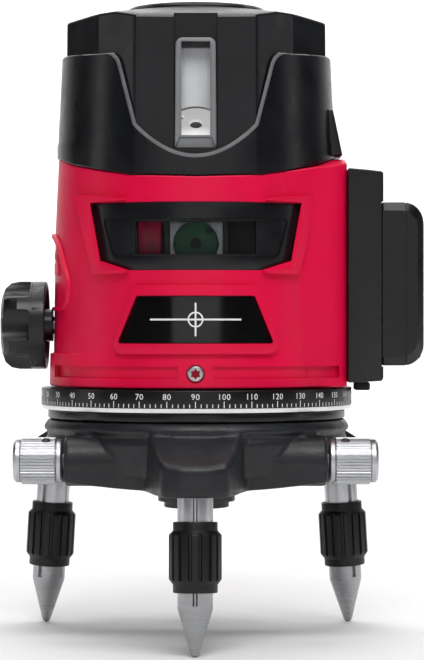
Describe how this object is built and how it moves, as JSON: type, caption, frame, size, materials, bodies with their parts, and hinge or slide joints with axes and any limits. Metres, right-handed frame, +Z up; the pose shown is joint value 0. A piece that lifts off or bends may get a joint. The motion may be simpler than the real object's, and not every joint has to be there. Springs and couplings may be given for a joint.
{
  "type": "self-levelling line laser",
  "caption": "Self-levelling line laser: gimbal pendulum in a round two-tone housing that swivels on a graduated cast base with a tangent screw and screw-adjusted pointed legs.",
  "frame": {"origin": "on the ground under the middle of the outline", "axes": "+Z up along the housing's turning axis, -Y towards the window face, +X towards the battery cover"},
  "size_m": [0.1464, 0.1251, 0.2166],
  "materials": {
    "casting": "satin textured black enamel on aluminium casting",
    "bright_metal": "turned, matte nickel plated",
    "steel": "machined",
    "brass": "machined",
    "black_abs": "satin moulded",
    "grip_abs": "fine matt moulded",
    "red_abs": "satin moulded",
    "grey_abs": "satin moulded",
    "gloss_black": "gloss",
    "dial": "black anodised, marks cut bright",
    "clear_glass": "clear",
    "black_rubber": "matt",
    "cell_wrap": "plain wrapper",
    "circuit_board": "solder mask",
    "green_enamel": "satin enamel"
  },
  "bodies": {
    "base": {"base_casting": "casting", "tripod_plate": "casting", "tripod_insert": "brass", "cover_disc": "black_abs", "dial_ring": "dial", "centre_spindle": "steel", "spindle_nut": "steel", "leg_sleeve_front": "bright_metal", "leg_sleeve_right": "bright_metal", "leg_sleeve_left": "bright_metal", "worm_bush_right": "brass", "worm_bush_left": "brass"},
    "leg_nut_front": {"leg_nut_front": "grip_abs"},
    "leg_foot_front": {"leg_foot_front": "bright_metal"},
    "leg_nut_right": {"leg_nut_right": "grip_abs"},
    "leg_foot_right": {"leg_foot_right": "bright_metal"},
    "leg_nut_left": {"leg_nut_left": "grip_abs"},
    "leg_foot_left": {"leg_foot_left": "bright_metal"},
    "tangent_screw": {"worm_shaft": "steel", "tangent_knob_right": "bright_metal", "tangent_knob_left": "bright_metal"},
    "worm_wheel": {"worm_wheel": "brass"},
    "housing": {"turntable": "casting", "swivel_bearing": "steel", "clutch_spring": "steel", "red_shell": "red_abs", "skirt": "black_abs", "head_dome": "black_abs", "keypad_cap": "black_abs", "bubble_vial": "clear_glass", "shell_screw_front": "bright_metal", "shell_screw_right": "bright_metal", "shell_screw_left": "bright_metal", "window_frame_front": "grey_abs", "window_frame_back": "grey_abs", "window_glass_front": "clear_glass", "window_glass_back": "clear_glass", "level_bezel": "gloss_black", "level_glass": "clear_glass", "label_plate": "gloss_black", "battery_box": "black_abs", "cell_1": "cell_wrap", "cell_2": "cell_wrap", "cell_3": "cell_wrap", "power_plug": "black_rubber", "gimbal_bracket": "casting", "damping_magnet": "steel", "control_board": "circuit_board"},
    "battery_cover": {"battery_cover": "black_abs"},
    "lock": {"lock_knob": "black_abs", "lock_cam": "steel"},
    "gimbal_ring": {"gimbal_ring": "steel"},
    "pendulum": {"pendulum": "steel", "plumb_module": "brass", "line_module_front": "bright_metal", "line_module_back": "bright_metal", "level_module": "green_enamel"},
    "power_button": {"power_button": "grey_abs"},
    "level_button": {"level_button": "grey_abs"},
    "plumb_button": {"plumb_button": "grey_abs"}
  },
  "joints": [
    {"name": "leg_nut_front_turn", "type": "hinge", "parent": "base", "child": "leg_nut_front", "pos_m": [-0.0054, -0.05241, 0.03193], "axis": [0, -0.0654, -0.9979], "range_deg": [0, 2160.1]},
    {"name": "leg_foot_front_extend", "type": "slide", "parent": "base", "child": "leg_foot_front", "axis": [0, -0.0654, -0.9979], "range_m": [0, 0.0075]},
    {"name": "leg_nut_right_turn", "type": "hinge", "parent": "base", "child": "leg_nut_right", "pos_m": [0.04735, 0.03895, 0.03193], "axis": [0.0566, 0.0327, -0.9979], "range_deg": [0, 2160.1]},
    {"name": "leg_foot_right_extend", "type": "slide", "parent": "base", "child": "leg_foot_right", "axis": [0.0566, 0.0327, -0.9979], "range_m": [0, 0.0075]},
    {"name": "leg_nut_left_turn", "type": "hinge", "parent": "base", "child": "leg_nut_left", "pos_m": [-0.05815, 0.03895, 0.03193], "axis": [-0.0566, 0.0327, -0.9979], "range_deg": [0, 2160.1]},
    {"name": "leg_foot_left_extend", "type": "slide", "parent": "base", "child": "leg_foot_left", "axis": [-0.0566, 0.0327, -0.9979], "range_m": [0, 0.0075]},
    {"name": "wheel_turn", "type": "hinge", "parent": "base", "child": "worm_wheel", "pos_m": [-0.0054, 0.0085, 0.0618], "axis": [0, 0, 1], "continuous": true},
    {"name": "tangent_turn", "type": "hinge", "parent": "base", "child": "tangent_screw", "pos_m": [-0.0054, -0.0275, 0.0618], "axis": [1, 0, 0], "continuous": true},
    {"name": "housing_swivel", "type": "hinge", "parent": "worm_wheel", "child": "housing", "pos_m": [-0.0054, 0.0085, 0.0862], "axis": [0, 0, 1], "continuous": true},
    {"name": "lock_turn", "type": "hinge", "parent": "housing", "child": "lock", "pos_m": [-0.0654, 0.0085, 0.107], "axis": [1, 0, 0], "range_deg": [0, 90]},
    {"name": "gimbal_roll", "type": "hinge", "parent": "housing", "child": "gimbal_ring", "pos_m": [-0.0054, 0.0085, 0.15], "axis": [1, 0, 0], "range_deg": [-4, 4]},
    {"name": "gimbal_pitch", "type": "hinge", "parent": "gimbal_ring", "child": "pendulum", "pos_m": [-0.0054, 0.0085, 0.15], "axis": [0, 1, 0], "range_deg": [-4, 4]},
    {"name": "battery_cover_pull", "type": "slide", "parent": "housing", "child": "battery_cover", "axis": [1, 0, 0], "range_m": [0, 0.025]},
    {"name": "power_button_press", "type": "slide", "parent": "housing", "child": "power_button", "axis": [0, 0, -1], "range_m": [0, 0.0008], "stiffness_N_per_m": 800, "springref_m": -0.0006},
    {"name": "level_button_press", "type": "slide", "parent": "housing", "child": "level_button", "axis": [0, 0, -1], "range_m": [0, 0.0008], "stiffness_N_per_m": 800, "springref_m": -0.0006},
    {"name": "plumb_button_press", "type": "slide", "parent": "housing", "child": "plumb_button", "axis": [0, 0, -1], "range_m": [0, 0.0008], "stiffness_N_per_m": 800, "springref_m": -0.0006}
  ],
  "couplings": [
    {"joint": "leg_nut_front_turn", "follows": "leg_foot_front_extend", "rad_per_m": 5026.5},
    {"joint": "leg_nut_right_turn", "follows": "leg_foot_right_extend", "rad_per_m": 5026.5},
    {"joint": "leg_nut_left_turn", "follows": "leg_foot_left_extend", "rad_per_m": 5026.5},
    {"joint": "tangent_turn", "follows": "wheel_turn", "ratio": 36}
  ]
}
